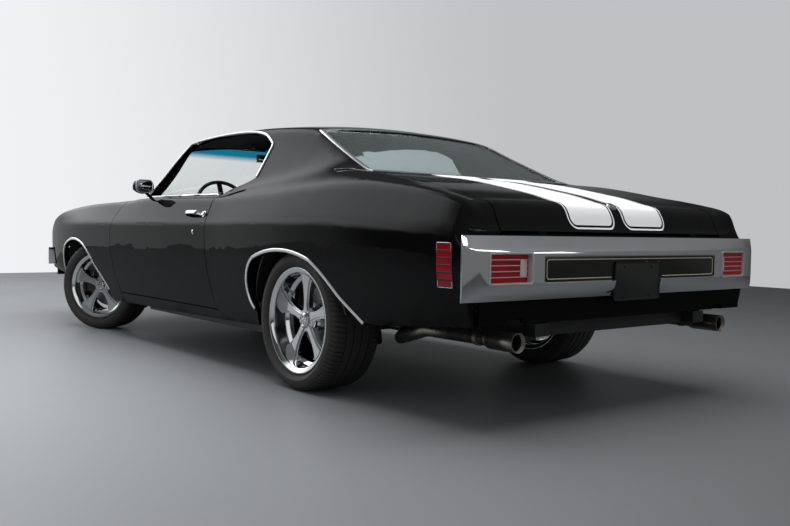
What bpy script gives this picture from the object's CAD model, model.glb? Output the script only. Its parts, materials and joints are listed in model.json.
import json
import math

import bmesh
import bpy
from bpy.props import FloatProperty, FloatVectorProperty, IntProperty, PointerProperty
from mathutils import Matrix, Vector
from mathutils.bvhtree import BVHTree


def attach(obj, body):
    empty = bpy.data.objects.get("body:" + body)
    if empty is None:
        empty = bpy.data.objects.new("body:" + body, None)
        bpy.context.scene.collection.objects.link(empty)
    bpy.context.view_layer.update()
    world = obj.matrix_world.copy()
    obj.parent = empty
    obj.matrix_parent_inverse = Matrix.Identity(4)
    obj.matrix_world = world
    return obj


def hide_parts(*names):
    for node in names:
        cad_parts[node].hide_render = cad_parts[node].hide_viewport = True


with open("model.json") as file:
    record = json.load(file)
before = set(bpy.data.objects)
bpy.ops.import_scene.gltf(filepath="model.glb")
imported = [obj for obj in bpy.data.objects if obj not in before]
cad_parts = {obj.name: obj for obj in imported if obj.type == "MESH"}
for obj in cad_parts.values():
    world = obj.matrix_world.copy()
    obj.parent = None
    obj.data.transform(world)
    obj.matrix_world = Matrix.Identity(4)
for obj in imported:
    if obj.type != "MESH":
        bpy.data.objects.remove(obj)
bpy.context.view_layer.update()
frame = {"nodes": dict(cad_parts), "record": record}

bl_info = {
    "name": "Muscle car looks",
    "version": (1, 0, 0),
    "blender": (4, 5, 0),
    "location": "3D Viewport > Sidebar > Muscle car",
    "description": "Paint, bright work, wheels and cabin trim for a two-door hardtop",
    "category": "Object",
}

# Places shared with the frame
MERGE = 1e-5
REAR_AXLE = 1.2895
FRONT_AXLE = -1.5555
KINGPIN = 0.702
STEER = math.radians(31.5)
NODES = frame["nodes"]
BODY_OF = {node: body for body, group in frame["record"]["behaviour"]["bodies"].items() for node in group}
PANELS = [
    "fender_left", "fender_right", "door_left", "door_right", "quarter_left", "quarter_right", "rockers",
    "roof", "hood", "trunk_lid", "rear_shelf", "cowl", "nose_panel", "tail_panel", "rear_valance",
    "front_valance",
]
SIDES = (("left", 1), ("right", -1))
BACK = Vector((0, 1, 0))


class PaintSettings(bpy.types.PropertyGroup):
    body_colour: FloatVectorProperty(
        name="Body colour", description="Colour of the gloss paint", subtype="COLOR", size=3,
        default=(0.0032, 0.0032, 0.0036), min=0, max=1)
    stripe_colour: FloatVectorProperty(
        name="Stripe colour", description="Colour of the deck and hood stripes", subtype="COLOR", size=3,
        default=(0.86, 0.86, 0.87), min=0, max=1)
    stripe_inner: FloatProperty(
        name="Stripe inner edge", description="From the centre line to a stripe", unit="LENGTH",
        default=0.045)
    stripe_outer: FloatProperty(
        name="Stripe outer edge", description="From the centre line to a stripe's far edge", unit="LENGTH",
        default=0.305)
    pin_gap: FloatProperty(
        name="Pinstripe gap", description="Between a stripe and its pinstripe", unit="LENGTH", default=0.009)
    pin_width: FloatProperty(
        name="Pinstripe width", description="Width of the thin line round a stripe", unit="LENGTH",
        default=0.007)


class TrimSettings(bpy.types.PropertyGroup):
    arch_width: FloatProperty(
        name="Arch moulding", description="Width of the bright strip round a wheel arch", unit="LENGTH",
        default=0.016)
    drip_width: FloatProperty(
        name="Drip moulding", description="Width of the bright strip over the side windows", unit="LENGTH",
        default=0.014)
    glass_width: FloatProperty(
        name="Glass surround", description="Width of the bright frame round a window", unit="LENGTH",
        default=0.022)
    rise: FloatProperty(
        name="Strip height", description="How far a bright strip stands off the paint", unit="LENGTH",
        default=0.005)
    plate_width: FloatProperty(
        name="Plate width", description="Width of the blank plate", unit="LENGTH", default=0.3)
    plate_height: FloatProperty(
        name="Plate height", description="Height of the blank plate", unit="LENGTH", default=0.15)


class WheelSettings(bpy.types.PropertyGroup):
    blocks: IntProperty(name="Tread blocks", description="Blocks round a tyre's shoulder", default=90)
    groove_depth: FloatProperty(
        name="Groove depth", description="Depth of the tread grooves", unit="LENGTH", default=0.007)
    groove_width: FloatProperty(
        name="Groove width", description="Width of the grooves round the tyre", unit="LENGTH", default=0.009)
    nut_circle: FloatProperty(
        name="Nut circle", description="Radius on which the wheel nuts sit", unit="LENGTH", default=0.0165)


class StageSettings(bpy.types.PropertyGroup):
    camera_place: FloatVectorProperty(
        name="Camera", description="Where the camera stands", subtype="XYZ", unit="LENGTH", size=3,
        default=(2.9595, 4.6327, 0.7455))
    yaw: FloatProperty(name="Yaw", description="Heading from +X", subtype="ANGLE", default=-2.23933)
    pitch: FloatProperty(name="Pitch", description="Up from level", subtype="ANGLE", default=-0.03894)
    roll: FloatProperty(name="Roll", description="Turn about the view", subtype="ANGLE", default=0.01685)
    focal: FloatProperty(name="Focal length", description="On a 36 mm sensor, in millimetres", default=39.04)
    floor_colour: FloatVectorProperty(
        name="Floor colour", description="Colour of the studio floor", subtype="COLOR", size=3,
        default=(0.235, 0.243, 0.252), min=0, max=1)
    floor_mirrored: FloatProperty(
        name="Mirrored floor", description="Share of the floor's colour that paint and chrome show",
        default=0.7)
    wall_bright: FloatProperty(
        name="Bright wall", description="Level of the wall at its bright side", default=0.92)
    wall_dim: FloatProperty(name="Dim wall", description="Level of the wall at its dim side", default=0.54)
    beam: FloatProperty(
        name="Beam", description="Level of the soft light that the paint mirrors", default=2.1)
    fill: FloatProperty(name="Fill", description="Level of the light from all round", default=0.34)
    lamp_level: FloatProperty(name="Lamps", description="Share of the lamps' written level", default=1.0)


class CarSettings(bpy.types.PropertyGroup):
    paint: PointerProperty(type=PaintSettings)
    trim: PointerProperty(type=TrimSettings)
    wheels: PointerProperty(type=WheelSettings)
    stage: PointerProperty(type=StageSettings)


# Finishes
class Shading:
    """Adds nodes to a tree."""

    def __init__(self, tree):
        self.tree = tree

    def node(self, kind, inputs=None, **values):
        node = self.tree.nodes.new("ShaderNode" + kind)
        for key, value in values.items():
            setattr(node, key, value)
        for key, value in (inputs or {}).items():
            if isinstance(value, bpy.types.NodeSocket):
                self.tree.links.new(value, node.inputs[key])
            else:
                node.inputs[key].default_value = value
        return node

    def math(self, operation, *values, clamp=False):
        return self.node("Math", dict(enumerate(values)), operation=operation, use_clamp=clamp).outputs[0]

    def between(self, value, low, high):
        return self.node("MapRange", {"Value": value, "To Min": low, "To Max": high}).outputs[0]

    def ramp(self, value, start, end, low, high):
        """Smooth passage from low to high while the value runs from start to end."""
        return self.node("MapRange", {"Value": value, "From Min": start, "From Max": end, "To Min": low,
                                      "To Max": high}, interpolation_type="SMOOTHSTEP").outputs[0]

    def mix(self, share, one, other):
        return self.node("Mix", {0: share, 6: one, 7: other}, data_type="RGBA").outputs[2]


class Finish(Shading):
    """A material under construction: its node tree and its shader."""

    def __init__(self, name, colour, roughness, metallic=0.0, **sockets):
        self.mat = bpy.data.materials.new(name)
        self.mat.use_nodes = True
        super().__init__(self.mat.node_tree)
        self.shader = self.tree.nodes["Principled BSDF"]
        self.set("Base Color", (*colour[:3], 1))
        self.set("Roughness", roughness)
        self.set("Metallic", metallic)
        for socket, value in sockets.items():
            self.set(socket.replace("_", " "), value)

    def set(self, socket, value):
        self.shader.inputs[socket].default_value = value

    def place(self):
        return self.node("TexCoord").outputs["Object"]

    def noise(self, scale, detail=4.0, stretch=(1, 1, 1)):
        spread = self.node("Mapping", {"Vector": self.place(), "Scale": stretch})
        texture = self.node("TexNoise", {"Vector": spread.outputs[0], "Scale": scale, "Detail": detail})
        return texture.outputs["Fac"]

    def link(self, value, socket):
        self.tree.links.new(value, self.shader.inputs[socket])

    def bump(self, height, strength, distance, socket="Normal"):
        bump = self.node("Bump", {"Height": height, "Strength": strength, "Distance": distance})
        self.link(bump.outputs[0], socket)
        return bump

    def vary(self, low, high, scale=6.0, detail=5.0, stretch=(1, 1, 1)):
        """Roughness that wanders between two values over the surface."""
        self.link(self.between(self.noise(scale, detail, stretch), low, high), "Roughness")
        return self

    def mottle(self, one, other, scale=8.0, detail=4.0):
        """Colour that wanders between two shades."""
        share = self.between(self.noise(scale, detail), 0.0, 1.0)
        self.link(self.mix(share, (*one, 1), (*other, 1)), "Base Color")
        return self


def striped_colour(finish, paint, end):
    """White where a stripe or its pinstripe runs, black elsewhere.

    End is (axis, sign, place): the stripes stop where sign * (axis - place) passes zero.
    """
    apart = finish.node("SeparateXYZ", {0: finish.place()})
    middle = (paint.stripe_inner + paint.stripe_outer) / 2
    half = (paint.stripe_outer - paint.stripe_inner) / 2
    corner = 0.03
    from_middle = finish.math("SUBTRACT", finish.math("ABSOLUTE", apart.outputs[0]), middle)
    across = finish.math("SUBTRACT", finish.math("ABSOLUTE", from_middle), half - corner)
    if end:
        axis, sign, place = end
        past = finish.math("MULTIPLY", finish.math("SUBTRACT", apart.outputs[axis], place), sign)
        along = finish.math("MAXIMUM", finish.math("ADD", past, corner), 0.0)
    else:
        along = 0.0
    outside = finish.math("MAXIMUM", across, 0.0)
    reach = finish.math("SQRT", finish.math(
        "ADD", finish.math("MULTIPLY", outside, outside), finish.math("MULTIPLY", along, along)))
    away = finish.math("SUBTRACT", reach, corner)
    stripe = finish.math("LESS_THAN", away, 0.0)
    pin = finish.math("MULTIPLY", finish.math("GREATER_THAN", away, paint.pin_gap),
                      finish.math("LESS_THAN", away, paint.pin_gap + paint.pin_width))
    white = finish.math("ADD", stripe, pin, clamp=True)
    finish.link(finish.mix(white, (*paint.body_colour[:3], 1), (*paint.stripe_colour[:3], 1)), "Base Color")


def gloss_paint(name, colour, striped=None, end=None):
    """Deep gloss paint under a clear coat, with white stripes where asked."""
    finish = Finish(name, colour, 0.3, Specular_IOR_Level=0.0, Coat_Weight=0.4, Coat_Roughness=0.02,
                    Coat_IOR=1.42)
    finish.vary(0.24, 0.36, scale=3.0)
    peel = finish.noise(240, 2.0)
    finish.bump(peel, 0.02, 0.0004, "Coat Normal")
    if striped:
        striped_colour(finish, striped, end)
    return finish.mat


def chrome(name="bright_chrome", roughness=0.05, colour=(0.8, 0.815, 0.835)):
    finish = Finish(name, colour, roughness, 1.0)
    finish.vary(roughness * 0.6, roughness * 1.8, scale=5.0)
    return finish.mat


def dark_metal(name, colour, roughness, metallic=0.8, scale=40.0):
    finish = Finish(name, colour, roughness, metallic)
    shade = tuple(part * 0.55 for part in colour)
    finish.mottle(colour, shade, scale=7.0)
    finish.vary(roughness - 0.1, roughness + 0.12, scale=9.0)
    finish.bump(finish.noise(scale * 10, 3.0), 0.15, 0.0005)
    return finish.mat


def rubber(name="tyre_rubber"):
    finish = Finish(name, (0.02, 0.02, 0.021), 0.6, Specular_IOR_Level=0.3)
    finish.mottle((0.038, 0.037, 0.035), (0.058, 0.056, 0.054), scale=5.0)
    finish.vary(0.5, 0.72, scale=12.0)
    finish.bump(finish.noise(900, 3.0), 0.2, 0.0004)
    return finish.mat


def grained(name, colour, roughness=0.5, scale=700.0):
    """Moulded or stitched trim with a fine leather grain."""
    finish = Finish(name, colour, roughness, Specular_IOR_Level=0.4)
    finish.vary(roughness - 0.1, roughness + 0.1, scale=20.0)
    cells = finish.node("TexVoronoi", {"Vector": finish.place(), "Scale": scale})
    finish.bump(cells.outputs["Distance"], 0.3, 0.0006)
    return finish.mat


def carpet(name, colour):
    finish = Finish(name, colour, 0.95, Specular_IOR_Level=0.1, Sheen_Weight=0.4)
    finish.mottle(colour, tuple(part * 0.6 for part in colour), scale=300.0, detail=2.0)
    finish.bump(finish.noise(1200, 2.0), 0.8, 0.002)
    return finish.mat


def clear_glass(name, colour=(0.93, 0.97, 0.95), tint_from=None):
    finish = Finish(name, colour, 0.0, Transmission_Weight=1.0, IOR=1.45)
    if tint_from:
        height = finish.node("SeparateXYZ", {0: finish.place()}).outputs[2]
        band = finish.node("MapRange", {
            "Value": height, "From Min": tint_from - 0.02, "From Max": tint_from + 0.014}).outputs[0]
        finish.link(finish.mix(band, (*colour, 1), (0.01, 0.24, 0.385, 1)), "Base Color")
    return finish.mat


def red_lens(name="lamp_red"):
    finish = Finish(name, (0.3, 0.003, 0.01), 0.12, Specular_IOR_Level=0.25, Coat_Weight=0.2,
                    Coat_Roughness=0.04, Emission_Color=(0.6, 0.005, 0.015, 1), Emission_Strength=0.05)
    finish.mottle((0.36, 0.004, 0.012), (0.16, 0.002, 0.008), scale=14.0, detail=1.0)
    ribs = finish.node("TexWave", {"Vector": finish.place(), "Scale": 40.0}, bands_direction="X")
    finish.bump(ribs.outputs["Fac"], 0.35, 0.001)
    return finish.mat


def satin_black(name="satin_black", roughness=0.4):
    finish = Finish(name, (0.012, 0.012, 0.013), roughness)
    finish.vary(roughness - 0.08, roughness + 0.1, scale=30.0)
    finish.bump(finish.noise(500, 2.0), 0.1, 0.0003)
    return finish.mat


# Meshes
def merged(node):
    """A copy of a frame mesh with its loose triangles joined."""
    bm = bmesh.new()
    bm.from_mesh(NODES[node].data)
    bmesh.ops.remove_doubles(bm, verts=bm.verts, dist=MERGE)
    return bm


def to_mesh(bm, name, angle=32):
    mesh = bpy.data.meshes.new(name)
    bm.to_mesh(mesh)
    bm.free()
    mesh.polygons.foreach_set("use_smooth", [True] * len(mesh.polygons))
    mesh.set_sharp_from_angle(angle=math.radians(angle))
    return mesh


def piece(name, bm, body, mat, replaced=(), angle=32, weighted=False, bevel=0.0, smooth=0):
    """A finished piece that rides on a body and takes a slot's finish."""
    obj = bpy.data.objects.new(name, to_mesh(bm, name, angle))
    bpy.context.scene.collection.objects.link(obj)
    obj.data.materials.append(mat)
    if bevel:
        edge = obj.modifiers.new("Edge", "BEVEL")
        edge.width = bevel
        edge.segments = 2
        edge.limit_method = "ANGLE"
        edge.angle_limit = math.radians(40)
        edge.harden_normals = False
        edge.use_clamp_overlap = True
    if smooth:
        curve = obj.modifiers.new("Smooth", "SUBSURF")
        curve.levels = curve.render_levels = smooth
    if weighted:
        normals = obj.modifiers.new("Normals", "WEIGHTED_NORMAL")
        normals.keep_sharp = True
    if replaced:
        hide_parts(*replaced)
    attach(obj, body)
    return obj


def dress(node, mat):
    """A better material on a frame node that keeps its shape."""
    obj = NODES[node]
    obj.data.materials.clear()
    obj.data.materials.append(mat)


def mirror_x(bm):
    bmesh.ops.scale(bm, vec=(-1, 1, 1), verts=bm.verts)
    bmesh.ops.reverse_faces(bm, faces=bm.faces)
    return bm


def sides():
    """Each side's name, and the step that takes a left-hand mesh over to it."""
    return (("left", lambda bm: bm), ("right", mirror_x))


def moved(bm, place):
    bmesh.ops.transform(bm, matrix=place, verts=bm.verts)
    return bm


def gathered(*parts):
    """Several meshes as one."""
    whole = bmesh.new()
    for part in parts:
        mesh = bpy.data.meshes.new("part")
        part.to_mesh(mesh)
        part.free()
        whole.from_mesh(mesh)
        bpy.data.meshes.remove(mesh)
    return whole


def prism(outline, depth, place=Matrix(), bevel=0.0, segments=2):
    """Flat outline made solid towards +Z of its place, with eased edges."""
    bm = bmesh.new()
    face = bm.faces.new([bm.verts.new((x, y, 0)) for x, y in outline])
    made = bmesh.ops.extrude_face_region(bm, geom=[face])["geom"]
    bmesh.ops.translate(bm, vec=(0, 0, depth), verts=[g for g in made if isinstance(g, bmesh.types.BMVert)])
    bmesh.ops.recalc_face_normals(bm, faces=bm.faces)
    if bevel:
        bmesh.ops.bevel(bm, geom=bm.edges[:], offset=bevel, offset_type="OFFSET", segments=segments,
                        profile=0.5, affect="EDGES", clamp_overlap=True, material=-1)
    return moved(bm, place)


def lathe(profile, place=Matrix(), steps=48):
    """Closed (radius, height) profile turned about Z of its place."""
    bm = bmesh.new()
    verts = [bm.verts.new((r, 0, h)) for r, h in profile]
    edges = [bm.edges.new((verts[i], verts[(i + 1) % len(verts)])) for i in range(len(verts))]
    bmesh.ops.spin(bm, geom=verts + edges, cent=(0, 0, 0), axis=(0, 0, 1), angle=2 * math.pi, steps=steps,
                   use_merge=True, use_duplicate=False)
    bmesh.ops.remove_doubles(bm, verts=bm.verts, dist=1e-6)
    bmesh.ops.recalc_face_normals(bm, faces=bm.faces)
    return moved(bm, place)


def sweep(frames, outline, closed=False):
    """A bar through placing matrices, with its outline in their X, Y plane."""
    bm = bmesh.new()
    ring = [bm.verts.new(frames[0] @ Vector((x, y, 0))) for x, y in outline]
    first = bm.faces.new(ring)
    edges = list(first.edges)
    start = list(first.verts)
    for here, there in zip(frames, frames[1:]):
        made = bmesh.ops.extrude_edge_only(bm, edges=edges)["geom"]
        verts = [g for g in made if isinstance(g, bmesh.types.BMVert)]
        edges = [g for g in made if isinstance(g, bmesh.types.BMEdge) and set(g.verts) <= set(verts)]
        bmesh.ops.transform(bm, matrix=there @ here.inverted(), verts=verts)
    if closed:
        bmesh.ops.delete(bm, geom=[first], context="FACES_ONLY")
        loops = edges + [e for v in start for e in v.link_edges if set(e.verts) <= set(start)]
        bmesh.ops.bridge_loops(bm, edges=list(set(loops)))
    else:
        bmesh.ops.contextual_create(bm, geom=edges)
    bmesh.ops.recalc_face_normals(bm, faces=bm.faces)
    return bm


def bar_outline(width, height, sink=0.003):
    """Half-round strip seen end on: flat below, softly crowned above."""
    half = width / 2
    return [(-half, -sink), (half, -sink), (half, height * 0.35), (half * 0.6, height * 0.9),
            (0, height), (-half * 0.6, height * 0.9), (-half, height * 0.35)]


def round_outline(radius, steps=10):
    return [(radius * math.cos(2 * math.pi * k / steps), radius * math.sin(2 * math.pi * k / steps))
            for k in range(steps)]


def bezier(points, steps):
    """Points along a curve with these control points."""
    found = []
    for step in range(steps + 1):
        level = [Vector(p) for p in points]
        t = step / steps
        while len(level) > 1:
            level = [a.lerp(b, t) for a, b in zip(level, level[1:])]
        found.append(level[0])
    return found


def chain(*curves, steps=10):
    """Curves end to end, without their doubled joints."""
    found = []
    for points in curves:
        part = bezier(points, steps if len(points) > 2 else 2)
        found.extend(part if not found else part[1:])
    return found


def through(points, steps=6):
    """Smooth line through points, evenly stepped between them."""
    found = []
    count = len(points)
    for i in range(count - 1):
        p0, p1, p2, p3 = (Vector(points[min(max(i + k, 0), count - 1)]) for k in (-1, 0, 1, 2))
        for step in range(steps):
            t = step / steps
            found.append(0.5 * (2 * p1 + (p2 - p0) * t + (2 * p0 - 5 * p1 + 4 * p2 - p3) * t * t
                                + (3 * p1 - p0 - 3 * p2 + p3) * t ** 3))
    found.append(Vector(points[-1]))
    return found


class Skin:
    """Where the painted skin lies, for trim that sits on it."""

    def __init__(self, nodes):
        bm = bmesh.new()
        for node in nodes:
            bm.from_mesh(NODES[node].data)
        self.tree = BVHTree.FromBMesh(bm)
        bm.free()

    def side(self, y, z, reach=0.6):
        place, normal, _, _ = self.tree.ray_cast(Vector((1.3, y, z)), Vector((-1, 0, 0)), reach)
        return place, normal

    def top(self, x, y):
        place, normal, _, _ = self.tree.ray_cast(Vector((x, y, 2.0)), Vector((0, 0, -1)))
        return place, normal

    def arch_edge(self, axle, height, angle, lift):
        """Point of the skin just outside a wheel opening's edge, in one direction from the axle."""
        low, high = 0.25, 0.66
        for _ in range(16):
            middle = (low + high) / 2
            place, _ = self.side(axle + middle * math.cos(angle), height + middle * math.sin(angle))
            if place:
                high = middle
            else:
                low = middle
        reach = high + lift
        return self.side(axle + reach * math.cos(angle), height + reach * math.sin(angle))


def met(found):
    """The surface points of those rays that met the skin."""
    return [f for f in found if f[0]]


def frames_on(found, closed=False):
    """Placing matrices along surface points: X across the strip, Y off the surface, Z along."""
    places = [p for p, _ in found]
    count = len(places)
    frames = []
    for i, (place, normal) in enumerate(found):
        before = places[(i - 1) % count if closed else max(i - 1, 0)]
        after = places[(i + 1) % count if closed else min(i + 1, count - 1)]
        along = (after - before).normalized()
        off = (normal - along * normal.dot(along)).normalized()
        across = off.cross(along)
        frames.append(Matrix.Translation(place) @ Matrix((across, off, along)).transposed().to_4x4())
    return frames


def frames_along(places, off, closed=False):
    """Placing matrices along a free line, with Y kept near one direction."""
    return frames_on([(place, off) for place in places], closed)


def rounded(width, height, radius, centre=(0, 0), steps=5):
    """A rectangle's outline with round corners, in a flat plane."""
    found = []
    for k, (sx, sy) in enumerate(((1, 1), (-1, 1), (-1, -1), (1, -1))):
        cx = centre[0] + sx * (width / 2 - radius)
        cy = centre[1] + sy * (height / 2 - radius)
        for step in range(steps + 1):
            turn = math.radians(90 * (k + step / steps))
            found.append((cx + radius * math.cos(turn), cy + radius * math.sin(turn)))
    return found


def facing(origin, out, up=Vector((0, 0, 1))):
    """Matrix at a point whose Z runs out of a surface and whose Y is near up."""
    z = Vector(out).normalized()
    x = up.cross(z).normalized()
    return Matrix.Translation(Vector(origin)) @ Matrix((x, z.cross(x), z)).transposed().to_4x4()


def wheel_place(end, side):
    """Matrix at a wheel's centre, with X out of the car along its axle."""
    turn = 0 if side > 0 else math.pi
    if end == "rear":
        return Matrix.Translation((side * 0.77, REAR_AXLE, 0.323)) @ Matrix.Rotation(turn, 4, "Z")
    pin = Vector((side * KINGPIN, FRONT_AXLE, 0.313))
    out = Vector((math.cos(STEER), math.sin(STEER), 0)) * side * 0.06
    return Matrix.Translation(pin + out) @ Matrix.Rotation(STEER + turn, 4, "Z")


AXLE_OUT = Matrix.Rotation(math.radians(90), 4, "Y")


# Painted panels
class CAR_OT_panels(bpy.types.Operator):
    """Paints the panels, with stripes on the hood and lid"""

    bl_idname = "muscle_car.panels"
    bl_label = "Painted panels"

    def execute(self, context):
        paint = context.scene.muscle_car.paint
        plain = gloss_paint("body_paint", paint.body_colour)
        striped = {
            "hood": gloss_paint("hood_paint", paint.body_colour, paint, (1, -1, -2.345)),
            "trunk_lid": gloss_paint("lid_paint", paint.body_colour, paint, (2, -1, 0.776)),
            "rear_shelf": gloss_paint("shelf_paint", paint.body_colour, paint),
        }
        for node in PANELS:
            made = piece("panel_" + node, merged(node), BODY_OF[node], striped.get(node, plain),
                         [node], angle=28, weighted=True)
            if node in striped:
                self.plain_below(made, plain)
        return {"FINISHED"}

    def plain_below(self, panel, plain):
        """Keeps the stripes off a panel's underside."""
        panel.data.materials.append(plain)
        for face in panel.data.polygons:
            if face.normal.z < 0.05:
                face.material_index = 1


# Window lines read from the frame: (y, z) for the side window, (x, y) seen from above for the glass panes
ROOF_REACH = 0.95
DOOR_TOP = 0.85
WINDOW_TOP = [(-0.405, 1.250), (-0.280, 1.268), (0.0, 1.279), (0.300, 1.273), (0.520, 1.243), (0.655, 1.182)]
WINDOW_FRONT = [(-0.620, 0.967), (-0.520, 1.099), (-0.405, 1.250)]
WINDOW_REAR = [(0.655, 1.182), (0.658, 1.09), (0.660, 1.008)]
SURROUNDS = {
    "rear_window": [
        [(-0.565, 1.000), (0, 1.042), (0.565, 1.000)],
        [(0.565, 1.000), (0.605, 1.268), (0.645, 1.535)],
        [(0.645, 1.535), (0, 1.562), (-0.645, 1.535)],
        [(-0.645, 1.535), (-0.605, 1.268), (-0.565, 1.000)],
    ],
    "windshield": [
        [(-0.712, -0.800), (0, -0.925), (0.712, -0.800)],
        [(0.712, -0.800), (0.65, -0.635), (0.588, -0.470)],
        [(0.588, -0.470), (0, -0.440), (-0.588, -0.470)],
        [(-0.588, -0.470), (-0.65, -0.635), (-0.712, -0.800)],
    ],
}


class CAR_OT_bright_trim(bpy.types.Operator):
    """Lays the bright mouldings on the skin"""

    bl_idname = "muscle_car.bright_trim"
    bl_label = "Bright trim"

    def execute(self, context):
        trim = context.scene.muscle_car.trim
        mat = chrome("bright_trim", 0.24, (0.9, 0.9, 0.91))
        skin = Skin(PANELS)
        outline = bar_outline(trim.arch_width, trim.rise)
        for end, axle, height, low, high in (
            ("rear", REAR_AXLE, 0.323, 4, 176), ("front", FRONT_AXLE, 0.313, 0, 174),
        ):
            angles = [math.radians(low + (high - low) * k / 64) for k in range(65)]
            found = [skin.arch_edge(axle, height, a, trim.arch_width * 0.45) for a in angles]
            self.strip(f"arch_moulding_{end}", met(found), outline, mat)
        clear = trim.drip_width * 0.6
        drip = [Vector((y - clear, z + clear * 0.4)) for y, z in through(WINDOW_FRONT)[:-1]]
        drip += [Vector((y, z + clear)) for y, z in through(WINDOW_TOP)]
        drip += [Vector((y + clear, z)) for y, z in through(WINDOW_REAR)[1:]]
        found = met(skin.side(*p, ROOF_REACH) for p in drip)
        self.strip("drip_moulding", found, bar_outline(trim.drip_width, trim.rise * 1.4), mat)
        belt = met(skin.top(0.8225 + 0.001 * math.sin(k), -0.66 + 1.06 * k / 24) for k in range(25))
        belt = [f for f in belt if f[0].z > DOOR_TOP]
        self.strip("belt_strip", belt, bar_outline(0.011, 0.004), mat, "door")
        for node, curves in SURROUNDS.items():
            line = chain(*curves, steps=16)[:-1]
            centre = Vector((0, sum(p.y for p in line) / len(line)))
            grown = [p + (p - centre).normalized() * trim.glass_width * 0.45 for p in line]
            found = met(skin.top(*p) for p in grown)
            bm = sweep(frames_on(found, closed=True), bar_outline(trim.glass_width, trim.rise), closed=True)
            piece(node + "_surround", bm, "body", mat)
        return {"FINISHED"}

    def strip(self, name, found, outline, mat, body="body"):
        """One moulding on each side, riding on the body or on that side's door."""
        for side, turn in sides():
            bm = turn(sweep(frames_on(found), outline))
            piece(f"{name}_{side}", bm, body if body == "body" else f"{body}_{side}", mat)


class CAR_OT_door_fittings(bpy.types.Operator):
    """Fits the handles, locks, mirrors and the inner door trim"""

    bl_idname = "muscle_car.door_fittings"
    bl_label = "Door fittings"
    handle_height = 0.812

    def execute(self, context):
        bright = chrome("handle_chrome", 0.06)
        dark = satin_black("door_rubber", 0.6)
        skin = Skin(["door_left", "quarter_left"])
        glass = Finish("mirror_face", (0.85, 0.87, 0.88), 0.02, 1.0).mat
        paint = bpy.data.materials["body_paint"]
        vinyl = grained("door_vinyl", (0.022, 0.022, 0.023), 0.5)
        for side, turn in sides():
            body = f"door_{side}"
            piece(f"door_handle_{side}", turn(self.handle(skin)), body, bright, angle=40)
            place, normal = skin.side(0.284, 0.714)
            lock = lathe([(0, 0.006), (0.006, 0.006), (0.0085, 0.0045), (0.0125, 0.003), (0.0125, -0.003),
                          (0, -0.003)], facing(place, normal), 24)
            piece(f"door_lock_{side}", turn(lock), body, bright)
            shell = merged(f"door_mirror_{side}")
            piece(f"mirror_shell_{side}", shell, body, paint, [f"door_mirror_{side}"],
                  weighted=True)
            piece(f"mirror_rim_{side}", turn(self.mirror_rim()), body, bright)
            face = prism(rounded(0.094, 0.064, 0.022), 0.002, facing((0.925, -0.4082, 0.985), BACK), 0.0006)
            piece(f"mirror_glass_{side}", turn(face), body, glass)
            piece(f"door_card_{side}", turn(self.card()), body, vinyl, bevel=0.002)
            seal = met(skin.top(0.812, -0.64 + 1.03 * k / 16) for k in range(17))
            strip = sweep(frames_on([f for f in seal if f[0].z > DOOR_TOP]), bar_outline(0.012, 0.006))
            piece(f"window_seal_{side}", turn(strip), body, dark)
        return {"FINISHED"}

    def handle(self, skin):
        """Pull-up bar on two feet with a round push button behind it."""
        line = []
        for k in range(17):
            t = k / 16
            y = 0.165 + 0.185 * t
            place, normal = skin.side(y, self.handle_height)
            rise = 0.024 * min(1.0, math.sin(math.pi * t) * 1.8)
            line.append((place + normal * rise, normal))
        bar = sweep(frames_on(line), [(0.011, 0.0), (0.0095, 0.0055), (0.004, 0.008), (-0.004, 0.008),
                                      (-0.0095, 0.0055), (-0.011, 0.0), (-0.007, -0.004), (0.007, -0.004)])
        place, normal = skin.side(0.372, self.handle_height)
        cup = lathe([(0, 0.012), (0.010, 0.012), (0.0125, 0.009), (0.0125, 0.005), (0.017, 0.004),
                     (0.018, -0.004), (0, -0.004)], facing(place, normal), 28)
        return gathered(bar, cup)

    def mirror_rim(self):
        line = [Vector((0.925 + a, -0.4085, 0.983 + b)) for a, b in rounded(0.104, 0.074, 0.026)]
        return sweep(frames_along(line, BACK, True), bar_outline(0.008, 0.003, 0.002), closed=True)

    def card(self):
        outline = [(-0.80, 0.33), (0.36, 0.33), (0.36, 0.62), (0.34, 0.885), (-0.66, 0.885), (-0.80, 0.70)]
        out = Matrix(((0, 0, -1, 0.8015), (1, 0, 0, 0), (0, 1, 0, 0), (0, 0, 0, 1)))
        panel = prism(outline, 0.006, out)
        rest = prism(rounded(0.46, 0.05, 0.02, (-0.05, 0.64)), 0.045, out, 0.006)
        return gathered(panel, rest)


class CAR_OT_glass(bpy.types.Operator):
    """Fills the windows with glass"""

    bl_idname = "muscle_car.glass"
    bl_label = "Window glass"

    def execute(self, context):
        piece("glass_windshield", merged("windshield"), "body",
              clear_glass("windshield_glass", tint_from=1.205), ["windshield"], angle=40, weighted=True)
        piece("glass_rear", merged("rear_window"), "body",
              clear_glass("rear_glass", (0.62, 0.73, 0.73)), ["rear_window"], angle=40, weighted=True)
        return {"FINISHED"}


INSET_FLOOR = 2.4902
LENS_FACE = 2.4738
LAMP_LOW = 0.5600
LAMP_PITCH = 0.0211
LAMP_ENDS = (0.632, 0.831)


def bumper_face(x):
    """How far back the rear bumper's face stands at a distance from the centre line."""
    stations = [(0, 0), (0.350, 0.003), (0.700, 0.012), (0.880, 0.028), (0.945, 0.047)]
    for (x0, pull0), (x1, pull1) in zip(stations, stations[1:]):
        if x <= x1:
            return 2.5045 - pull0 - (pull1 - pull0) * (x - x0) / (x1 - x0)
    return 2.4575


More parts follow.
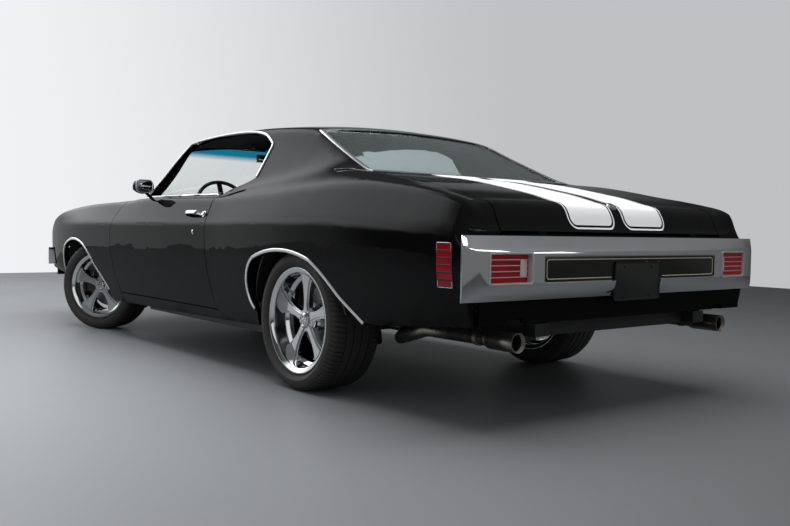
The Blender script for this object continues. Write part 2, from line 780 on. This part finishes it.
class CAR_OT_bumpers(bpy.types.Operator):
    """Chromes the bumpers and fits the tail panel, plate and lamps"""

    bl_idname = "muscle_car.bumpers"
    bl_label = "Bumpers and lamps"

    def execute(self, context):
        bright = chrome()
        for node in ("rear_bumper", "front_bumper"):
            piece("chrome_" + node, merged(node), "body", bright, [node], angle=30, bevel=0.006,
                  weighted=True)
        self.inset_panels()
        self.plate(context.scene.muscle_car.trim)
        self.lamps(bright)
        self.front_lamps(bright)
        self.lid_lock(bright)
        return {"FINISHED"}

    def inset_panels(self):
        """Black panel along the bumper's recess with a thin pale line, open round the plate."""
        black = Finish("panel_black", (0.009, 0.009, 0.009), 0.35).vary(0.3, 0.42, scale=20.0)
        cream = Finish("panel_line", (0.62, 0.55, 0.4), 0.4).vary(0.35, 0.5, scale=20.0)
        half, low, high, notch, ease = 0.562, 0.5595, 0.6545, 0.158, 0.014
        corners = rounded(2 * half, high - low, ease, (0, (low + high) / 2))
        count = len(corners) // 4
        outline = corners[:3 * count] + [(-notch, low), (-notch, 0.632), (notch, 0.632), (notch, low)]
        outline += corners[3 * count:]
        panel = prism(outline, 0.003, facing((0, INSET_FLOOR, 0), BACK), 0.0008)
        piece("tail_inset", panel, "body", black.mat)
        line = rounded(2 * half - 0.022, high - low - 0.022, 0.012, (0, (low + high) / 2))
        path = [(-notch - 0.012, low + 0.011)] + line[2 * count:3 * count][::-1] + line[count:2 * count][::-1]
        path += line[:count][::-1] + line[3 * count:][::-1] + [(notch + 0.012, low + 0.011)]
        places = [Vector((x, INSET_FLOOR + 0.003, z)) for x, z in path]
        strip = sweep(frames_along(places, BACK), bar_outline(0.0035, 0.0008, 0.001))
        piece("tail_line", strip, "body", cream.mat)

    def plate(self, trim):
        """Blank plate with its holder, frame and four screws."""
        bare = Finish("plate_black", (0.012, 0.012, 0.013), 0.3).vary(0.25, 0.4, scale=25.0)
        wide, high, middle = trim.plate_width, trim.plate_height, 0.552
        out = facing((0, 2.4935, middle), (0, 1, -0.04))
        back = prism(rounded(wide, high, 0.012), 0.0025, out, 0.0008)
        holder = prism(rounded(wide * 0.7, 0.05, 0.01, (0, 0.02)), 0.034, facing((0, 2.461, middle), BACK))
        piece("plate_blank", gathered(back, holder), "body", bare.mat)
        line = [out @ Vector((a, b, 0.0015)) for a, b in rounded(wide, high, 0.012)]
        ring = sweep(frames_along(line, BACK, True), bar_outline(0.007, 0.003, 0.003), closed=True)
        screws = [lathe([(0, 0.004), (0.004, 0.0035), (0.006, 0.0015), (0.006, 0), (0, 0)],
                        out @ Matrix.Translation((a * wide * 0.3, b * high * 0.4, 0.0025)), 16)
                  for a in (-1, 1) for b in (-1, 1)]
        piece("plate_frame", gathered(ring, *screws), "body", satin_black("frame_black", 0.25))

    def lamps(self, bright):
        """Bright bars, bezels and reversing lenses on the rear lamps, and the side markers' slats."""
        dress("tail_lamps", red_lens())
        dress("side_markers", red_lens("marker_red"))
        clear = Finish("reverse_lens", (0.8, 0.62, 0.62), 0.15, Coat_Weight=0.5)
        clear.bump(clear.noise(400, 2.0), 0.4, 0.0006)
        silver = Finish("lamp_liner", (0.5, 0.47, 0.47), 0.4, 0.2).vary(0.35, 0.5, scale=30.0)
        polished = chrome("lamp_bright", 0.3, (0.96, 0.96, 0.97))
        inner, outer = LAMP_ENDS
        low, high = LAMP_LOW - 0.001, LAMP_LOW + 5 * LAMP_PITCH
        middle = ((inner + outer) / 2, (low + high) / 2)
        out = Vector((bumper_face(inner) - bumper_face(outer), outer - inner, 0)).normalized()
        for side, turn in sides():
            bars = []
            for k in range(1, 5):
                ends = [Vector((x, LENS_FACE, LAMP_LOW + k * LAMP_PITCH - 0.0003)) for x in (inner, outer)]
                bars.append(sweep(frames_along(ends, BACK), bar_outline(0.0042, 0.0022, 0.002)))
            piece(f"lamp_bars_{side}", turn(gathered(*bars)), "body", polished)
            ring = [Vector((x, bumper_face(x), z))
                    for x, z in rounded(outer - inner + 0.006, high - low + 0.006, 0.008, middle)]
            bezel = sweep(frames_along(ring, out, True), bar_outline(0.009, 0.004, 0.002), closed=True)
            piece(f"lamp_bezel_{side}", turn(bezel), "body", polished)
            mouth = [Vector((x, bumper_face(x) + 0.001, z))
                     for x, z in rounded(outer - inner - 0.0015, high - low - 0.001, 0.006, middle)]
            floor = [Vector((x, LENS_FACE - 0.0003, z))
                     for x, z in rounded(outer - inner - 0.004, high - low - 0.003, 0.006, middle)]
            piece(f"lamp_liner_{side}", turn(self.liner(mouth, floor)), "body", silver.mat)
            lens = prism(rounded(0.034, 3 * LAMP_PITCH - 0.004, 0.004), 0.003,
                         facing((inner + 0.026, LENS_FACE, middle[1]), BACK), 0.001)
            piece(f"reverse_lens_{side}", turn(lens), "body", clear.mat)
            self.marker(side, turn, bright)

    def marker(self, side, turn, bright):
        """Black slats and a bright rim on a side marker."""
        skin = Skin(["side_markers"])
        slats = []
        for k in range(7):
            found = met(skin.side(2.309 + 0.07 * t / 6, 0.543 + k * 0.0262) for t in range(7))
            if len(found) > 2:
                slats.append(sweep(frames_on(found), bar_outline(0.0065, 0.0012, 0.002)))
        piece(f"marker_slats_{side}", turn(gathered(*slats)), "body",
              satin_black(f"slat_black_{side}"))
        edge = met(skin.side(y, z) for y, z in rounded(0.071, 0.160, 0.003, (2.344, 0.6215)))
        rim = sweep(frames_on(edge, closed=True), bar_outline(0.0035, 0.0014, 0.002), closed=True)
        piece(f"marker_rim_{side}", turn(rim), "body", bright)

    def liner(self, ring, floor):
        """Thin funnel from a lamp's bezel down to its lens."""
        bm = bmesh.new()
        verts = [bm.verts.new(p) for p in ring]
        edges = [bm.edges.new((verts[i], verts[(i + 1) % len(verts)])) for i in range(len(verts))]
        made = bmesh.ops.extrude_edge_only(bm, edges=edges)["geom"]
        lower = [g for g in made if isinstance(g, bmesh.types.BMVert)]
        for vert in lower:
            nearest = min(range(len(ring)), key=lambda i: (ring[i] - vert.co).length)
            vert.co = floor[nearest]
        bmesh.ops.recalc_face_normals(bm, faces=bm.faces)
        bmesh.ops.solidify(bm, geom=bm.faces[:], thickness=0.0008)
        bmesh.ops.recalc_face_normals(bm, faces=bm.faces)
        return bm

    def front_lamps(self, bright):
        """Grille, headlamp rings and parking lamps."""
        lamp_height = 0.655
        dress("grille", satin_black("grille_black"))
        dress("grille_surround", satin_black("surround_black", 0.3))
        lens = Finish("lamp_glass", (0.8, 0.83, 0.85), 0.06, 0.85)
        ribs = lens.node("TexWave", {"Vector": lens.place(), "Scale": 60.0}, bands_direction="X")
        lens.bump(ribs.outputs["Fac"], 0.3, 0.001)
        dress("headlamps", lens.mat)
        amber = Finish("park_amber", (0.8, 0.25, 0.02), 0.2, Coat_Weight=0.5).vary(0.15, 0.3, scale=60.0)
        for side, turn in sides():
            rings = []
            for x in (0.575, 0.742):
                place = facing((x, -2.4035, lamp_height), -BACK)
                rings.append(lathe([(0.0705, 0.0), (0.083, 0.0), (0.085, 0.003), (0.081, 0.009),
                                    (0.074, 0.010), (0.0702, 0.006)], place, 56))
            piece(f"lamp_rings_{side}", turn(gathered(*rings)), "body", bright)
            place = facing((0.50, -2.4912, 0.50), (0.06, -1, 0))
            lamp = prism(rounded(0.15, 0.036, 0.008), 0.006, place, 0.002)
            piece(f"park_lamp_{side}", turn(lamp), "body", amber.mat)
        ends = [Vector((x, -2.3965, lamp_height)) for x in (-0.48, 0.48)]
        bar = sweep(frames_along(ends, -BACK), bar_outline(0.008, 0.002, 0.001))
        piece("grille_moulding", bar, "body", bright)

    def lid_lock(self, bright):
        skin = Skin(["trunk_lid"])
        place, normal = skin.top(0.0, 2.352)
        lock = lathe([(0, 0.004), (0.010, 0.004), (0.0105, 0.006), (0.017, 0.0075), (0.0205, 0.006),
                      (0.022, 0.0), (0.022, -0.004), (0, -0.004)], facing(place, normal, BACK), 36)
        piece("lid_lock", lock, BODY_OF["trunk_lid"], bright)


class CAR_OT_wheels(bpy.types.Operator):
    """Dresses the tyres, rims and discs"""

    bl_idname = "muscle_car.wheels"
    bl_label = "Wheels"

    def execute(self, context):
        wheels = context.scene.muscle_car.wheels
        bright = chrome("wheel_chrome", 0.05, (0.78, 0.79, 0.8))
        black = rubber()
        turned = dark_metal("turned_steel", (0.42, 0.42, 0.43), 0.3, 1.0)
        sizes = {"rear": (0.323, 0.275, 0.229), "front": (0.313, 0.235, 0.216)}
        for end, (radius, width, bead) in sizes.items():
            for side, sign in SIDES:
                body = f"{end}_wheel_{side}"
                place = wheel_place(end, sign) @ AXLE_OUT
                rim = moved(self.rim(width, bead), place)
                piece(f"{end}_rim_chrome_{side}", rim, body, bright,
                      [f"{end}_rim_{side}"], angle=35, bevel=0.002, weighted=True)
                tyre = moved(self.tyre(radius, width, bead, wheels), place)
                piece(f"{end}_tyre_rubber_{side}", tyre, body, black,
                      [f"{end}_tyre_{side}"], angle=24)
                piece(f"{end}_wheel_nuts_{side}", self.nuts(place, wheels), body, bright)
                dress(f"{end}_disc_{side}", turned)
        return {"FINISHED"}

    def rim(self, width, bead):
        """Deep-dish rim about Z with five waisted spokes, one of them straight up."""
        half = width / 2 - 0.030
        lip = bead + 0.016
        barrel = lathe([
            (lip, -half - 0.012), (lip, -half - 0.004), (bead, -half), (bead, -0.060), (bead - 0.020, -0.045),
            (bead - 0.020, 0.030), (bead, 0.042), (bead, half), (lip, half + 0.004), (lip, half + 0.012),
            (lip - 0.008, half + 0.012), (bead - 0.010, half + 0.002), (bead - 0.012, half - 0.008),
            (bead - 0.012, 0.046), (bead - 0.031, 0.034), (bead - 0.031, -0.050), (bead - 0.012, -0.065),
            (bead - 0.012, 0.008 - half), (bead - 0.010, -half - 0.002), (lip - 0.008, -half - 0.012),
        ], steps=96)
        hub = lathe([(0, 0.020), (0.062, 0.020), (0.062, 0.056), (0.050, 0.066), (0.037, 0.067),
                     (0.034, 0.078), (0.028, 0.081), (0, 0.081)], steps=64)
        parts = [barrel, hub]
        for k in range(5):
            turn = Matrix.Rotation(math.radians(180 + 72 * k), 4, "Z")
            for low, depth, root, tip, waist in ((0.040, 0.026, 0.024, 0.060, 0.016),
                                                 (0.0655, 0.0065, 0.014, 0.042, 0.009)):
                reach = math.sqrt((bead - 0.008) ** 2 - tip ** 2)
                side = bezier([(0.040, root), ((0.040 + reach) * 0.47, waist * 0.55),
                               (reach * 0.93, tip * 0.72), (reach, tip)], 10)
                outline = [(p.x, -p.y) for p in side] + [(bead - 0.008, 0)]
                outline += [(p.x, p.y) for p in reversed(side)]
                parts.append(prism(outline, depth, turn @ Matrix.Translation((0, 0, low))))
        return gathered(*parts)

    def tyre(self, radius, width, bead, wheels):
        """Tyre about Z with ribbed walls, grooves round its tread and slots across its shoulders."""
        half = width / 2
        deep, groove = wheels.groove_depth, wheels.groove_width
        wall = [(bead + 0.0005, half - 0.030), (bead + 0.008, half - 0.027), (bead + 0.018, half - 0.0255),
                (bead + 0.022, half - 0.018), (bead + 0.026, half - 0.0175), (bead + 0.03, half - 0.009),
                (bead * 0.6 + radius * 0.4, half - 0.0035), (bead * 0.52 + radius * 0.48, half - 0.0005),
                (bead * 0.45 + radius * 0.55, half - 0.001), (bead * 0.3 + radius * 0.7, half - 0.0045),
                (radius - 0.024, half - 0.0085), (radius - 0.021, half - 0.0078), (radius - 0.012, half - 0.015),
                (radius - 0.0055, half - 0.0235)]
        edge = half - 0.034
        tread = [(radius - 0.0012, edge)]
        for k in range(4):
            centre = edge * (1 - (k + 1) * 2 / 5)
            tread += [(radius, centre + groove / 2), (radius - deep, centre + groove * 0.36),
                      (radius - deep, centre - groove * 0.36), (radius, centre - groove / 2)]
        tread.append((radius - 0.0012, -edge))
        profile = wall + tread + [(r, -h) for r, h in reversed(wall)]
        steps = wheels.blocks * 4
        bm = lathe(profile, steps=steps)
        shares = (0.0, 0.66, 0.72, 0.94)
        shoulder = edge * 0.62
        for vert in bm.verts:
            reach = math.hypot(vert.co.x, vert.co.y)
            if reach < radius - 0.03:
                continue
            step = round(math.atan2(vert.co.y, vert.co.x) / (2 * math.pi) * steps) % steps
            block, part = divmod(step, 4)
            slant = abs(vert.co.z) / half * 0.9 + (0.5 if vert.co.z < 0 else 0)
            angle = 2 * math.pi * (block + shares[part] + slant) / wheels.blocks
            if part >= 2 and abs(vert.co.z) > shoulder and reach > radius - 0.022:
                reach -= deep * 0.7
            vert.co.x, vert.co.y = reach * math.cos(angle), reach * math.sin(angle)
        return bm

    def nuts(self, place, wheels):
        """Domed cap with a ring of five small nuts, and a valve stem at the rim."""
        cap = place @ Matrix.Translation((0, 0, 0.0805))
        parts = [lathe([(0, 0.004), (0.006, 0.0037), (0.008, 0.002), (0.008, -0.001), (0, -0.001)], cap, 24),
                 lathe([(0.024, -0.001), (0.0275, -0.001), (0.027, 0.003), (0.0255, 0.004), (0.024, 0.003)],
                       cap, 48)]
        for k in range(5):
            turn = cap @ Matrix.Rotation(math.radians(72 * k), 4, "Z")
            at = turn @ Matrix.Translation((wheels.nut_circle, 0, -0.001))
            parts.append(prism(round_outline(0.0058, 6), 0.005, at, 0.0008))
        stem = place @ Matrix.Rotation(math.radians(20), 4, "Z") @ Matrix.Translation((0.185, 0, 0.035))
        parts.append(lathe([(0, 0.028), (0.0035, 0.027), (0.004, 0.018), (0.003, 0.016), (0.003, 0), (0, 0)],
                           stem, 16))
        return gathered(*parts)


class CAR_OT_under_car(bpy.types.Operator):
    """Finishes the frame, the running gear and the floor"""

    bl_idname = "muscle_car.under_car"
    bl_label = "Under the car"

    def execute(self, context):
        chassis = satin_black("chassis_black", 0.45)
        for node in ("firewall", "frame_rails", "rear_wheelhouses", "inner_fenders"):
            dress(node, chassis)
        dress("floor_pan", carpet("floor_carpet", (0.012, 0.012, 0.013)))
        steel = dark_metal("dark_steel", (0.12, 0.12, 0.12), 0.42)
        for node in ("driveshaft", "rear_axle", "rear_suspension", "front_suspension"):
            dress(node, steel)
        iron = dark_metal("cast_iron", (0.13, 0.125, 0.12), 0.6, 0.5)
        for node in ("engine_block", "knuckle_left", "knuckle_right"):
            dress(node, iron)
        dress("transmission", dark_metal("cast_alloy", (0.4, 0.4, 0.4), 0.45, 0.9))
        pipe = dark_metal("exhaust_steel", (0.42, 0.40, 0.37), 0.25, 0.95)
        piece("exhaust_pipes", merged("exhaust"), "body", pipe, ["exhaust"], angle=40)
        soot_mat = satin_black("soot", 0.8)
        clamp_mat = dark_metal("clamp_steel", (0.3, 0.27, 0.24), 0.4, 0.9)
        pipe_side, pipe_height = 0.671, 0.338
        for side, sign in SIDES:
            clamps = []
            for y in (2.255, 2.315):
                along = facing((sign * pipe_side, y, pipe_height), BACK)
                clamps.append(lathe([(0.0285, 0), (0.0325, 0.001), (0.0325, 0.019), (0.0285, 0.02)],
                                    along, 32))
            piece(f"exhaust_clamps_{side}", gathered(*clamps), "body", clamp_mat)
            soot = lathe([(0, 0), (0.0327, 0), (0.0327, 0.074), (0.0321, 0.074), (0.0321, 0.002), (0, 0.002)],
                         facing((sign * pipe_side, 2.3805, pipe_height), BACK), 40)
            piece(f"exhaust_soot_{side}", soot, "body", soot_mat)
        self.tank(chassis)
        return {"FINISHED"}

    def tank(self, mat):
        """Pressed fuel tank with a seam flange and two straps."""
        side = Matrix(((0, 0, 1, -0.425), (1, 0, 0, 0), (0, 1, 0, 0), (0, 0, 0, 1)))
        shell = prism([(1.755, 0.415), (1.755, 0.345), (1.80, 0.305), (2.03, 0.300), (2.20, 0.335),
                       (2.285, 0.385), (2.285, 0.415)], 0.85, side, 0.014, 3)
        flange = prism(rounded(0.86, 0.54, 0.03, (0, 2.02)), 0.004, Matrix.Translation((0, 0, 0.388)), 0.001)
        straps = []
        for x in (-0.22, 0.22):
            line = through([(x, 1.752, 0.415), (x, 1.752, 0.345), (x, 1.80, 0.302), (x, 2.03, 0.297),
                            (x, 2.20, 0.332), (x, 2.288, 0.383), (x, 2.288, 0.415)], 3)
            straps.append(sweep(frames_along(line, Vector((0, 0.2, -1))),
                                [(-0.014, 0), (0.014, 0), (0.014, 0.002), (-0.014, 0.002)]))
        piece("tank_shell", gathered(shell, flange, *straps), "body", mat, ["fuel_tank"])


class CAR_OT_cabin(bpy.types.Operator):
    """Trims the cabin"""

    bl_idname = "muscle_car.cabin"
    bl_label = "Cabin trim"

    def execute(self, context):
        vinyl = grained("black_vinyl", (0.02, 0.02, 0.021), 0.42)
        plastic = grained("dash_grain", (0.07, 0.075, 0.08), 0.5)
        for side, turn in sides():
            for name, pad in (("cushion", self.cushion()), ("backrest", self.backrest()),
                              ("headrest", self.head())):
                self.padded(f"{name}_{side}", turn(pad), vinyl)
        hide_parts("front_seats")
        bench = self.crowned(-0.58, 0.58, (0.548, 0.955), (0.305, 0.448), 0.016, 9)
        self.padded("rear_cushion", bench, vinyl, ["rear_seat"])
        back = self.leaning(-0.585, 0.585, [(0.975, 0.43), (1.055, 0.875)], 0.085, 9)
        self.padded("rear_backrest", back, vinyl)
        for node in ("dashboard", "steering_column"):
            dress(node, plastic)
        dress("steering_wheel", grained("wheel_grain", (0.025, 0.025, 0.026), 0.45))
        self.gauges()
        self.mirror()
        self.headliner()
        return {"FINISHED"}

    def padded(self, name, bm, mat, replaced=()):
        made = piece(name, bm, "body", mat, replaced, smooth=2, angle=180)
        return made

    def headliner(self):
        """Cloth lining that follows the roof's inner face, with sewn cross seams."""
        inside = Skin(["roof"]).tree
        bm = bmesh.new()
        bmesh.ops.create_grid(bm, x_segments=24, y_segments=32, size=0.5)
        lost = []
        for vert in bm.verts:
            x, y = vert.co.x * 1.16, 0.28 + vert.co.y * 1.36
            place, _, _, _ = inside.ray_cast(Vector((x, y, 0.95)), Vector((0, 0, 1)))
            if place:
                seam = (0.5 + 0.5 * math.cos(y * 2 * math.pi / 0.34)) ** 8
                vert.co = (x, y, place.z - 0.005 - 0.003 * seam)
            else:
                lost.append(vert)
        bmesh.ops.delete(bm, geom=lost, context="VERTS")
        bmesh.ops.solidify(bm, geom=bm.faces[:], thickness=0.002)
        bmesh.ops.recalc_face_normals(bm, faces=bm.faces)
        piece("headliner", bm, "body", grained("headliner_cloth", (0.03, 0.03, 0.031), 0.8, 500.0))

    def crowned(self, x0, x1, along, heights, crown, pleats):
        """Crowned cushion with sewn channels that run fore and aft."""
        bm = bmesh.new()
        bmesh.ops.create_cube(bm, size=1.0)
        bmesh.ops.subdivide_edges(bm, edges=bm.edges[:], cuts=1, use_grid_fill=True)
        size = (x1 - x0, along[1] - along[0], heights[1] - heights[0])
        centre = ((x0 + x1) / 2, sum(along) / 2, sum(heights) / 2)
        long = [e for e in bm.edges if abs((e.verts[0].co - e.verts[1].co).x) > 0.1]
        bmesh.ops.subdivide_edges(bm, edges=long, cuts=pleats, use_grid_fill=True)
        deep = [e for e in bm.edges if abs((e.verts[0].co - e.verts[1].co).y) > 0.1]
        bmesh.ops.subdivide_edges(bm, edges=deep, cuts=2, use_grid_fill=True)
        for vert in bm.verts:
            u, v, w = vert.co.x * 2, vert.co.y * 2, vert.co.z * 2
            swell = (1 - u * u) * (1 - v * v)
            channel = 0.5 + 0.5 * math.cos(u * math.pi * (pleats + 1))
            inner = 1 if abs(u) < 0.72 and abs(v) < 0.8 else 0
            lift = crown * swell - inner * channel * crown * 0.45 if w > 0.9 else 0
            vert.co.x = centre[0] + vert.co.x * size[0] * (1 - 0.02 * abs(v))
            vert.co.y = centre[1] + vert.co.y * size[1] * (1 - 0.02 * abs(u))
            vert.co.z = centre[2] + vert.co.z * size[2] + lift - (0 if w > 0 else crown * 0.2 * (1 - swell))
        return bm

    def leaning(self, x0, x1, line, thick, pleats):
        """Crowned back that leans along a (y, z) line."""
        (y0, z0), (y1, z1) = line
        length = math.hypot(y1 - y0, z1 - z0)
        bm = self.crowned(x0, x1, (-length / 2, length / 2), (0, thick), 0.014, pleats)
        lean = math.atan2(z1 - z0, y1 - y0)
        middle = Matrix.Translation((0, (y0 + y1) / 2, (z0 + z1) / 2))
        return moved(bm, middle @ Matrix.Rotation(lean, 4, "X"))

    def cushion(self):
        return self.crowned(0.215, 0.705, (-0.335, 0.135), (0.315, 0.458), 0.022, 5)

    def backrest(self):
        return self.leaning(0.222, 0.698, [(0.198, 0.44), (0.318, 0.872)], 0.085, 5)

    def head(self):
        return self.crowned(0.365, 0.555, (0.268, 0.346), (0.90, 1.028), 0.006, 1)

    def gauges(self):
        """Round dials in bright rims on the dash."""
        bright = chrome("gauge_rings", 0.15)
        black = satin_black("gauge_black", 0.3)
        out = Vector((0, 0.985, 0.17))
        rings, dials = [], []
        for x, radius in ((0.30, 0.052), (0.46, 0.052), (0.38, 0.028), (0.56, 0.03)):
            place = facing((x, -0.5815, 0.815), out)
            rings.append(lathe([(radius - 0.006, 0), (radius, 0.0), (radius, 0.004), (radius - 0.003, 0.006),
                                (radius - 0.006, 0.003)], place, 32))
            dials.append(lathe([(0, 0.001), (radius - 0.005, 0.001), (radius - 0.005, -0.004), (0, -0.004)],
                               place, 32))
        piece("gauge_rims", gathered(*rings), "body", bright)
        piece("gauge_dials", gathered(*dials), "body", black)

    def mirror(self):
        dress("rear_view_mirror", satin_black("mirror_back", 0.35))
        face = prism(rounded(0.222, 0.044, 0.012), 0.0015, facing((0, -0.4682, 1.207), BACK), 0.0005)
        glass = Finish("inner_mirror", (0.85, 0.87, 0.88), 0.02, 1.0).mat
        piece("inner_mirror_glass", face, "body", glass)


# Headings from +X that the surround is built on
WALL_HEADING = math.radians(-100)
BEAM_HEADING = math.radians(-75)
REAR_HEADING = math.radians(100)
BRIGHT_TURN = math.radians(63)


class CAR_OT_stage(bpy.types.Operator):
    """Lays the floor and sets the lamps and the camera"""

    bl_idname = "muscle_car.stage"
    bl_label = "Stage"

    def execute(self, context):
        stage = context.scene.muscle_car.stage
        self.lay_floor(stage)
        self.surround(stage)
        self.light(stage)
        self.aim(stage)
        return {"FINISHED"}

    def lay_floor(self, stage):
        """Floor that is brighter towards the camera's left and dimmer where gloss mirrors it."""
        finish = Finish("studio_floor", stage.floor_colour, 0.5, Specular_IOR_Level=0.2)
        finish.vary(0.42, 0.56, scale=1.5)
        left = stage.yaw + math.pi / 2
        there = (math.cos(left), math.sin(left), 0)
        sideways = finish.node("VectorMath", {0: finish.place(), 1: there}, operation="DOT_PRODUCT")
        sideways = sideways.outputs["Value"]
        share = finish.ramp(sideways, -2.2, 1.6, 0.5, 1.45)
        mirrored = finish.node("LightPath").outputs["Is Glossy Ray"]
        share = finish.math("MULTIPLY", share, finish.between(mirrored, 1.0, stage.floor_mirrored))
        finish.link(finish.node("VectorMath", {0: tuple(stage.floor_colour), "Scale": share},
                                operation="SCALE").outputs["Vector"], "Base Color")
        bm = bmesh.new()
        bmesh.ops.create_grid(bm, x_segments=1, y_segments=1, size=9)
        floor = bpy.data.objects.new("studio_floor", to_mesh(bm, "studio_floor"))
        floor.data.materials.append(finish.mat)
        bpy.context.scene.collection.objects.link(floor)

    def surround(self, stage):
        """Pale wall for the camera and through glass; in gloss that wall, a soft beam and little else."""
        world = bpy.data.worlds.new("studio")
        bpy.context.scene.world = world
        world.use_nodes = True
        shading = Shading(world.node_tree)
        place = shading.node("TexCoord").outputs["Generated"]

        def towards(angle):
            there = (math.cos(angle), math.sin(angle), 0)
            return shading.node("VectorMath", {0: place, 1: there}, operation="DOT_PRODUCT").outputs["Value"]

        rise = shading.node("SeparateXYZ", {0: place}).outputs[2]
        wall = shading.ramp(towards(stage.yaw + BRIGHT_TURN), 0.3, 0.85, stage.wall_dim, stage.wall_bright)
        level = shading.math("SQRT", shading.math("SUBTRACT", 1.0, shading.math("MULTIPLY", rise, rise)))
        facing_wall = shading.math("DIVIDE", towards(WALL_HEADING), level)
        facing_beam = shading.math("DIVIDE", towards(BEAM_HEADING), level)
        spread = shading.ramp(facing_wall, 0.62, 0.85, 0.0, 0.85)
        abeam = shading.ramp(facing_beam, 0.78, 0.95, 0.0, 1.0)
        aloft = shading.math("MULTIPLY", shading.ramp(rise, 0.12, 0.28, 0.0, stage.beam),
                             shading.ramp(rise, 0.7, 0.85, 1.0, 0.0))
        height = shading.ramp(rise, 0.2, 0.34, 1.0, 0.0)
        behind = shading.math("ADD", shading.ramp(towards(REAR_HEADING), -0.2, 1.0, 0.05, 0.16),
                              shading.ramp(rise, 0.25, 0.6, 0.0, 0.12))
        gloss = shading.math("ADD", behind, shading.math(
            "MULTIPLY", wall, shading.math("MULTIPLY", spread, height)))
        gloss = shading.math("ADD", gloss, shading.math("MULTIPLY", abeam, aloft))
        tint = (0.965, 0.985, 1.0, 1)
        lit = world.node_tree.nodes["Background"]
        lit.inputs["Color"].default_value = (0.95, 0.98, 1.0, 1)
        lit.inputs["Strength"].default_value = stage.fill
        seen = shading.node("Background", {"Color": tint, "Strength": gloss})
        pale = shading.node("Background", {"Color": tint, "Strength": wall})
        path = shading.node("LightPath").outputs
        straight = shading.math("MAXIMUM", path["Is Camera Ray"], path["Is Transmission Ray"])
        glossy = path["Is Glossy Ray"]
        indirect = shading.node("MixShader", {0: glossy, 1: lit.outputs[0], 2: seen.outputs[0]})
        view = shading.node("MixShader", {0: straight, 1: indirect.outputs[0], 2: pale.outputs[0]})
        output = world.node_tree.nodes["World Output"]
        world.node_tree.links.new(view.outputs[0], output.inputs["Surface"])

    def light(self, stage):
        """Area lamps; the two large ones don't show in gloss, where their edges would break the panels."""
        for name, place, aim, wide, deep, glow, mirrored in (
            ("overhead", (0, 1.3, 4.4), (0, 1.3, 0), 5.5, 5.0, 3.4, False),
            ("front_box", (1.6, -6.2, 3.9), (0.3, -0.5, 0.8), 6.4, 3.0, 1.3, False),
            ("left_card", (5.6, 1.4, 1.5), (0, 1.4, 1.2), 2.8, 2.4, 0.7, True),
            ("rear_strip", (-2.4, 6.4, 2.6), (0, 2.0, 0.7), 3.0, 0.7, 2.4, True),
        ):
            lamp = bpy.data.lights.new(name, "AREA")
            lamp.shape = "RECTANGLE"
            lamp.size, lamp.size_y = wide, deep
            lamp.energy = glow * math.pi * wide * deep * stage.lamp_level
            holder = bpy.data.objects.new(name, lamp)
            bpy.context.scene.collection.objects.link(holder)
            holder.visible_glossy = mirrored
            holder.location = place
            holder.rotation_euler = (Vector(aim) - Vector(place)).to_track_quat("-Z", "Y").to_euler()

    def aim(self, stage):
        """Camera at the photograph's place."""
        flat = math.cos(stage.pitch)
        ahead = Vector((math.cos(stage.yaw) * flat, math.sin(stage.yaw) * flat, math.sin(stage.pitch)))
        right = ahead.cross(Vector((0, 0, 1))).normalized()
        up = right.cross(ahead)
        cos, sin = math.cos(stage.roll), math.sin(stage.roll)
        across = right * cos + up * sin
        upward = up * cos - right * sin
        camera = bpy.data.cameras.new("camera")
        camera.sensor_width, camera.lens = 36, stage.focal
        holder = bpy.data.objects.new("camera", camera)
        bpy.context.scene.collection.objects.link(holder)
        turn = Matrix((across, upward, -ahead)).transposed().to_4x4()
        holder.matrix_world = Matrix.Translation(Vector(stage.camera_place)) @ turn
        bpy.context.scene.camera = holder
        bpy.context.scene.view_settings.view_transform = "Standard"


OPERATORS = (
    CAR_OT_panels, CAR_OT_bright_trim, CAR_OT_door_fittings, CAR_OT_glass, CAR_OT_bumpers, CAR_OT_wheels,
    CAR_OT_under_car, CAR_OT_cabin, CAR_OT_stage,
)


class CAR_PT_panel(bpy.types.Panel):
    """Lists the steps that dress the car"""

    bl_idname = "CAR_PT_panel"
    bl_label = "Muscle car"
    bl_space_type = "VIEW_3D"
    bl_region_type = "UI"
    bl_category = "Muscle car"

    def draw(self, context):
        for step in OPERATORS:
            self.layout.operator(step.bl_idname)


CLASSES = (PaintSettings, TrimSettings, WheelSettings, StageSettings, CarSettings, *OPERATORS, CAR_PT_panel)


def register():
    for cls in CLASSES:
        bpy.utils.register_class(cls)
    bpy.types.Scene.muscle_car = PointerProperty(type=CarSettings)


def unregister():
    del bpy.types.Scene.muscle_car
    for cls in reversed(CLASSES):
        bpy.utils.unregister_class(cls)


def main():
    register()
    for step in OPERATORS:
        group, name = step.bl_idname.split(".")
        getattr(getattr(bpy.ops, group), name)()


if __name__ == "__main__":
    main()
